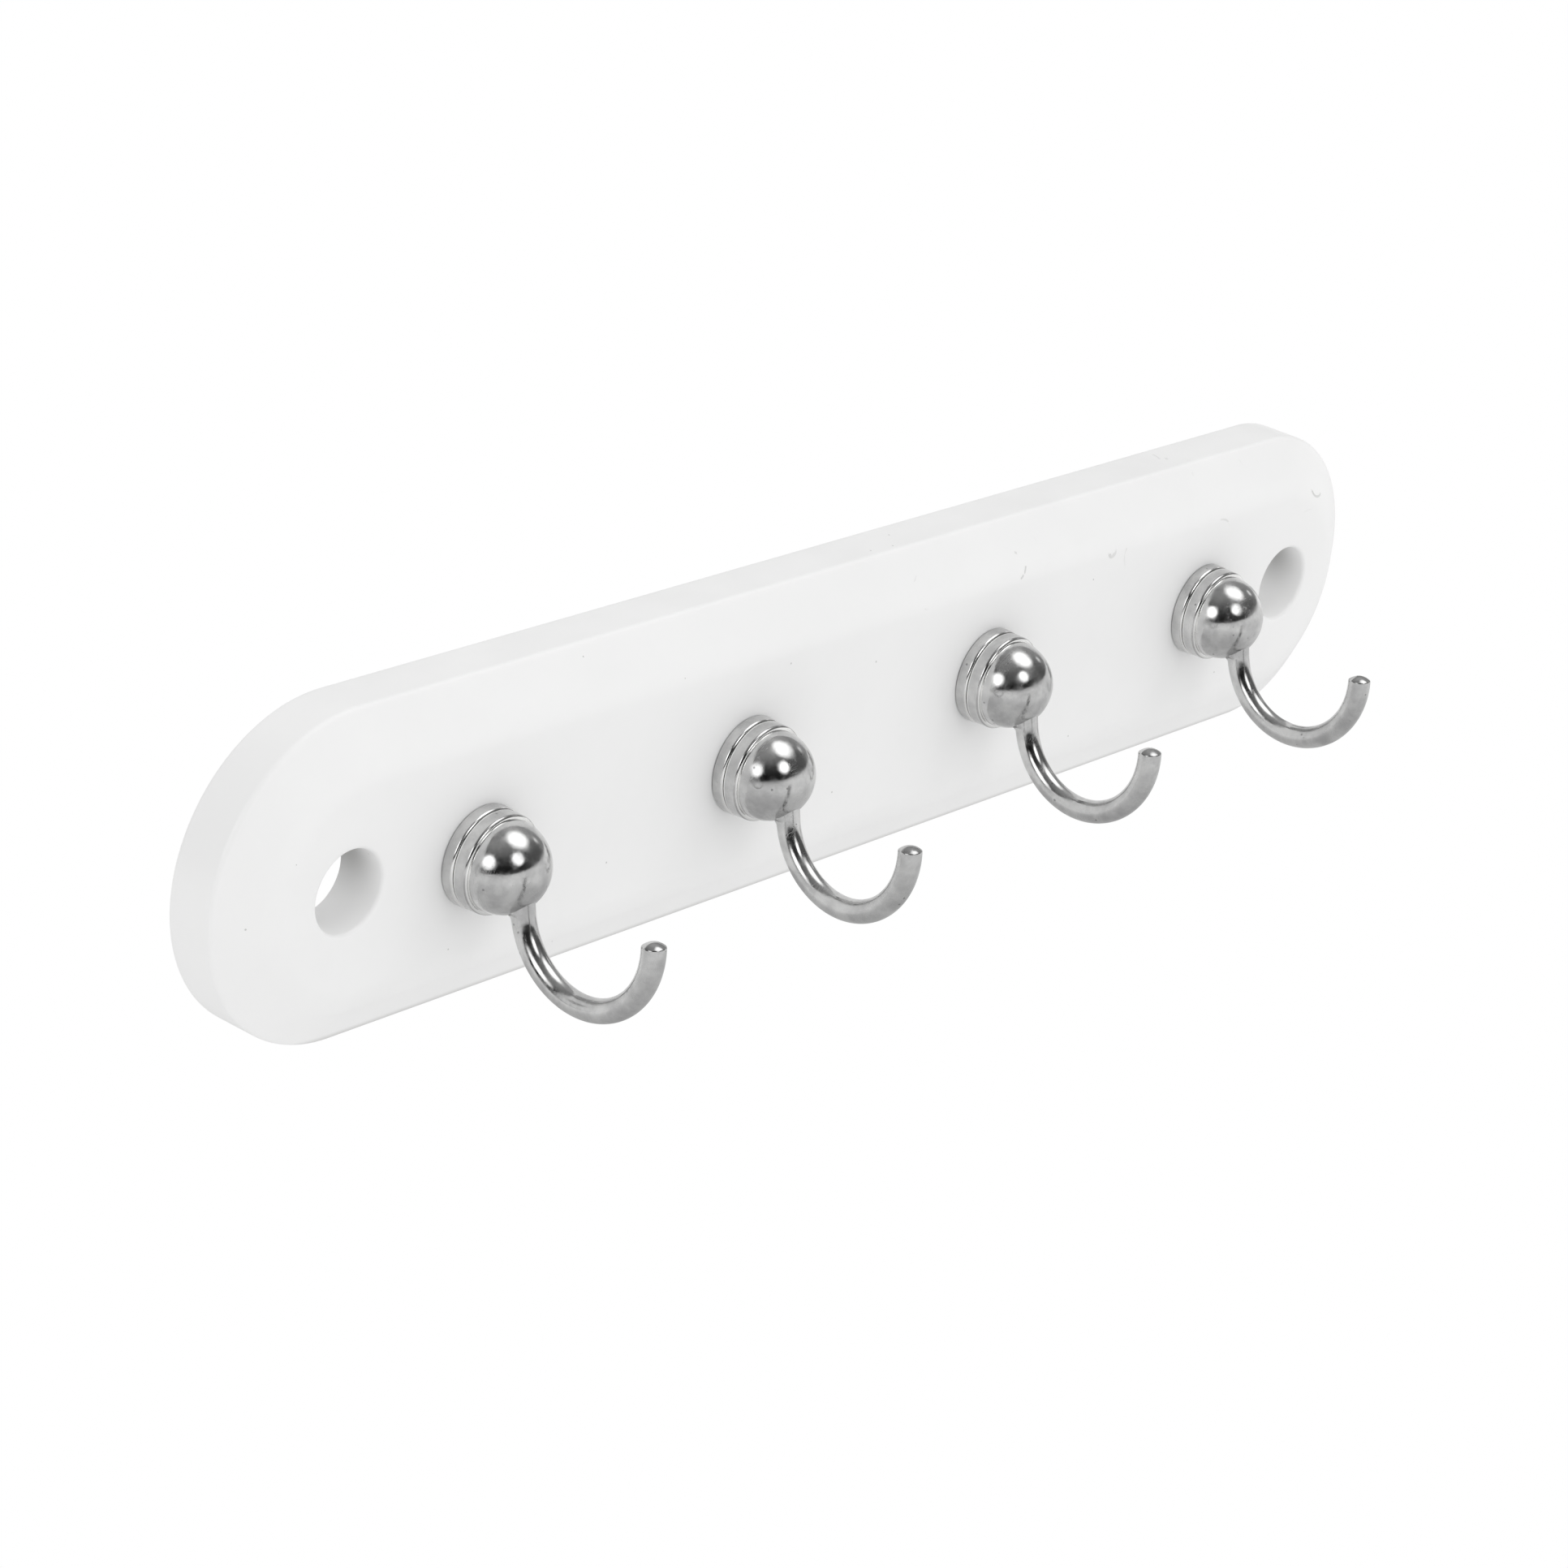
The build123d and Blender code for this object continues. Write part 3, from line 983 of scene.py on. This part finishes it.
def make_board():
    bm = bmesh.new()
    # Each line of the moulding is (inset, depth), from the flat back to the flat face.
    back, foot, crease, brow, front = (
        (RIM_STRIP, 0), (0, 0), (0, WALL_TOP), (BEVEL_WIDTH, FACE),
        (BEVEL_WIDTH + RIM_STRIP, FACE),
    )
    loops = [outline(bm, *back)]
    for line in (foot, crease, brow, front):
        loops.append(step_loop(bm, loops[-1], on_outline(*line)))
    fronts, backs, lips = [], [], []
    for x in (-WALL_HOLE_X, WALL_HOLE_X):
        hole = hole_loops(bm, Vector((x, 0, 0)), WALL_HOLE_RIMS, WALL_HOLE_SEGMENTS)
        fronts += hole[0]
        backs += hole[-1]
        lips += hole[1]
    for spot in HOOK_SPOT.values():
        hole = hole_loops(bm, spot, HOOK_HOLE_RIMS, HOOK_HOLE_SEGMENTS)
        fronts += hole[0]
        backs += hole[-1]
    flat_fill(bm, loops[4] + fronts)
    flat_fill(bm, loops[0] + backs)
    soften(bm, lips, *HOLE_LIP)
    soften(bm, loops[3], *BROW)
    soften(bm, loops[2], *CREASE)
    soften(bm, loops[1], *BACK_EDGE)
    for depth in LINE_DEPTHS:
        support_line(bm, depth)
    return finish_piece(bm, "white_board", "board", white_paint)


white_board = make_board()
print("board faces", len(white_board.data.polygons))

# %% [markdown]
# ## The two rings
# Each hook stands on two stacked rings. A turned part is its half section spun once round its axis.
# A lathe would leave sharp corners, and a ring is tumbled before it's plated, so the corners are
# then rounded. It's these tiny rounds that catch the light as bright lines.

# %% Turned parts
TURN_SEGMENTS = 160
NEAR = 0.01 * MM


def turn(bm, section, closed):
    """Spins a half section of (radius, depth) points round the depth axis."""
    verts = [bm.verts.new((0, -depth, radius)) for radius, depth in section]
    pairs = list(zip(verts, verts[1:]))
    if closed:
        pairs.append((verts[-1], verts[0]))
    edges = [bm.edges.new(pair) for pair in pairs]
    bmesh.ops.spin(
        bm, geom=verts + edges, cent=(0, 0, 0), axis=(0, 1, 0), angle=2 * pi,
        steps=TURN_SEGMENTS, use_merge=True,
    )
    bmesh.ops.remove_doubles(bm, verts=bm.verts, dist=MERGE)
    bmesh.ops.recalc_face_normals(bm, faces=bm.faces)


def ring_edges(bm, radius, depth):
    """The loop of edges at one radius and depth of a turned part."""
    def on_it(vert):
        reach = sqrt(vert.co.x ** 2 + vert.co.z ** 2)
        return abs(reach - radius) < NEAR and abs(vert.co.y + depth) < NEAR
    return [e for e in bm.edges if all(on_it(v) for v in e.verts)]


def move_to_hook(bm, k):
    bmesh.ops.translate(bm, verts=bm.verts, vec=HOOK_SPOT[k])

# %% Base rings and collar rings
# Each kind's roundings are the width of the front one and of the back one.
RING_ROUNDS = {"base_ring": (0.6 * MM, 0.35 * MM), "collar_ring": (0.65 * MM, 0.3 * MM)}
FRONT_SEGMENTS, BACK_SEGMENTS = 6, 4


def make_ring(kind, k):
    size = size_of(f"{kind}_{k}")
    radius, back, front = size["width"] / 2, size["back"], size["front"]
    front_round, back_round = RING_ROUNDS[kind]
    bm = bmesh.new()
    turn(bm, [(CLEARANCE, back), (radius, back), (radius, front), (CLEARANCE, front)], closed=True)
    soften(bm, ring_edges(bm, radius, front), front_round, FRONT_SEGMENTS)
    soften(bm, ring_edges(bm, radius, back), back_round, BACK_SEGMENTS)
    move_to_hook(bm, k)
    return finish_piece(bm, f"plated_{kind}_{k}", f"{kind}_{k}", nickel_plate)


rings = [make_ring(kind, k) for k in HOOKS for kind in RING_ROUNDS]
print(len(rings), "rings, the last with", len(rings[-1].data.polygons), "faces")

# %% [markdown]
# ## The knob
# The knob is a half ball, so its section is a quarter circle. The back is closed with a flat disc
# round the blind hole that the screw goes into. A ready-made sphere could be cut in half instead,
# but a spun section brings the disc and the hole with it.

# %% Knobs
QUARTER_STEPS = 40
TAPPED_RADIUS, TAPPED_DEPTH = 2.0 * MM, 4.4 * MM


def make_knob(k):
    size = size_of(f"knob_{k}")
    radius, back = size["width"] / 2, size["back"]
    bm = bmesh.new()
    bottom = back + TAPPED_DEPTH
    section = [(0.0, bottom), (TAPPED_RADIUS, bottom), (TAPPED_RADIUS, back)]
    for i in range(QUARTER_STEPS + 1):
        angle = pi / 2 * i / QUARTER_STEPS
        section.append((radius * cos(angle), back + radius * sin(angle)))
    turn(bm, section, closed=False)
    move_to_hook(bm, k)
    return finish_piece(bm, f"plated_knob_{k}", f"knob_{k}", nickel_plate)


knobs = [make_knob(k) for k in HOOKS]
print(len(knobs), "knobs, the last with", len(knobs[-1].data.polygons), "faces")

# %% [markdown]
# ## The arm
# The arm is round rod, bent once. Its section is a circle: pulled out straight for the shank that
# is set in the knob, then spun about the centre of the bend, which keeps the bend truly round. The
# sizes here are the CAD design's, as a box can't give a bend. The arms were set by eye, so each
# swings a little to one side.

# %% Rod and bend
ROD, ROD_SEGMENTS = 2.15 * MM, 56
BEND, BEND_STEPS = 14.65 * MM, 112
BEND_CENTRE = Vector((0, -40.2, -3.0)) * MM
ROOT_ANGLE, TIP_ANGLE = radians(12.5), radians(6.5)
SHANK = 3.0 * MM
SWING = {1: radians(0.6), 2: radians(4.1), 3: radians(2.6), 4: radians(2.4)}

ROOT = BEND_CENTRE + BEND * Vector((0, cos(ROOT_ANGLE), -sin(ROOT_ANGLE)))
ALONG_SHANK = Vector((0, sin(ROOT_ANGLE), cos(ROOT_ANGLE)))
TIP = BEND_CENTRE + BEND * Vector((0, -cos(TIP_ANGLE), sin(TIP_ANGLE)))
OUT_OF_TIP = Vector((0, sin(TIP_ANGLE), cos(TIP_ANGLE)))
print("arm runs from", [round(v / MM, 1) for v in ROOT], "to", [round(v / MM, 1) for v in TIP])

# %% [markdown]
# The open end was tumbled with the rest, so it's a low dome with a rounded edge. It's drawn as rims
# that narrow and rise: first round the edge, up to the slope at which the dome begins, then over
# the dome, which is a shallow parabola.

# %% Open end of the rod
TIP_EDGE, EDGE_STEPS = 0.3 * MM, 5
CROWN, CROWN_STEPS = 0.75 * MM, 8


def tip_rims():
    """The (radius, height above the cut end) of each rim of the rod's open end."""
    steep = atan2(ROD, 2 * CROWN)
    rims = []
    for i in range(1, EDGE_STEPS + 1):
        angle = steep * i / EDGE_STEPS
        rims.append((ROD - TIP_EDGE * (1 - cos(angle)), TIP_EDGE * sin(angle)))
    inner, foot = rims[-1]
    for i in range(1, CROWN_STEPS):
        share = 1 - i / CROWN_STEPS
        rims.append((inner * share, foot + CROWN * (1 - share ** 2)))
    return rims


def nearer(scale, rise):
    """Where a point of the tip goes when the tip narrows towards the rod's middle and rises."""
    def place(point):
        foot = TIP + OUT_OF_TIP * (point - TIP).dot(OUT_OF_TIP)
        return foot + (point - foot) * scale + OUT_OF_TIP * rise
    return place


def crown_tip(bm, loop):
    """Rounds the rod's open end: a short rounding of the edge that runs into a domed cap."""
    reach, height = ROD, 0.0
    for new_reach, new_height in tip_rims():
        loop = step_loop(bm, loop, nearer(new_reach / reach, new_height - height))
        reach, height = new_reach, new_height
    bmesh.ops.edgeloop_fill(bm, edges=loop)


print("tip rises", round(tip_rims()[-1][1] / MM, 2), "mm")

# %% [markdown]
# At the root a small fillet of braze runs out from the rod to the knob. The rod's own vertices near
# the ball are moved out along their normals, by the height of a quarter-round fillet there.

# %% Braze at the root
BRAZE = 0.75 * MM


def add_braze(bm, knob):
    """Flares the rod where it meets the knob's ball, with the round of a small fillet."""
    ball = Vector((0, -knob["back"], 0))
    radius = knob["width"] / 2
    bm.normal_update()
    for vert in bm.verts:
        gap = (vert.co - ball).length - radius
        if 0 <= gap < BRAZE:
            vert.co += vert.normal * BRAZE * (1 - sqrt(1 - (1 - gap / BRAZE) ** 2))

# %% Arms
def make_arm(k):
    bm = bmesh.new()
    made = bmesh.ops.create_circle(bm, segments=ROD_SEGMENTS, radius=ROD)
    tilt = Vector((0, 0, 1)).rotation_difference(ALONG_SHANK).to_matrix().to_4x4()
    bmesh.ops.transform(bm, matrix=Matrix.Translation(ROOT) @ tilt, verts=made["verts"])
    start = list(bm.edges)
    blind = step_loop(bm, start, lambda point: point + ALONG_SHANK * SHANK)
    bmesh.ops.edgeloop_fill(bm, edges=blind)
    spun = bmesh.ops.spin(
        bm, geom=verts_of(start) + start, cent=BEND_CENTRE, axis=(-1, 0, 0),
        angle=pi - ROOT_ANGLE + TIP_ANGLE, steps=BEND_STEPS,
    )
    crown_tip(bm, [g for g in spun["geom_last"] if isinstance(g, bmesh.types.BMEdge)])
    swung = Matrix.Rotation(-SWING[k], 3, "Z")
    bmesh.ops.rotate(bm, verts=bm.verts, cent=(0, ROOT.y, 0), matrix=swung)
    add_braze(bm, size_of(f"knob_{k}"))
    move_to_hook(bm, k)
    return finish_piece(bm, f"plated_arm_{k}", f"arm_{k}", nickel_plate)


arms = [make_arm(k) for k in HOOKS]
print(len(arms), "arms, the last with", len(arms[-1].data.polygons), "faces")

# %% [markdown]
# ## Behind the board
# A washer and a pan-head screw sit in a pocket behind each hook. Only their backs show, so their
# CAD meshes are kept, and only take the zinc finish.

# %% Washers and screws
plated = 0
for k in HOOKS:
    for kind in ("washer", "screw"):
        for slot in frame["nodes"][f"{kind}_{k}"].material_slots:
            slot.material = zinc_steel
            plated += 1
print("zinc-plated slots", plated)
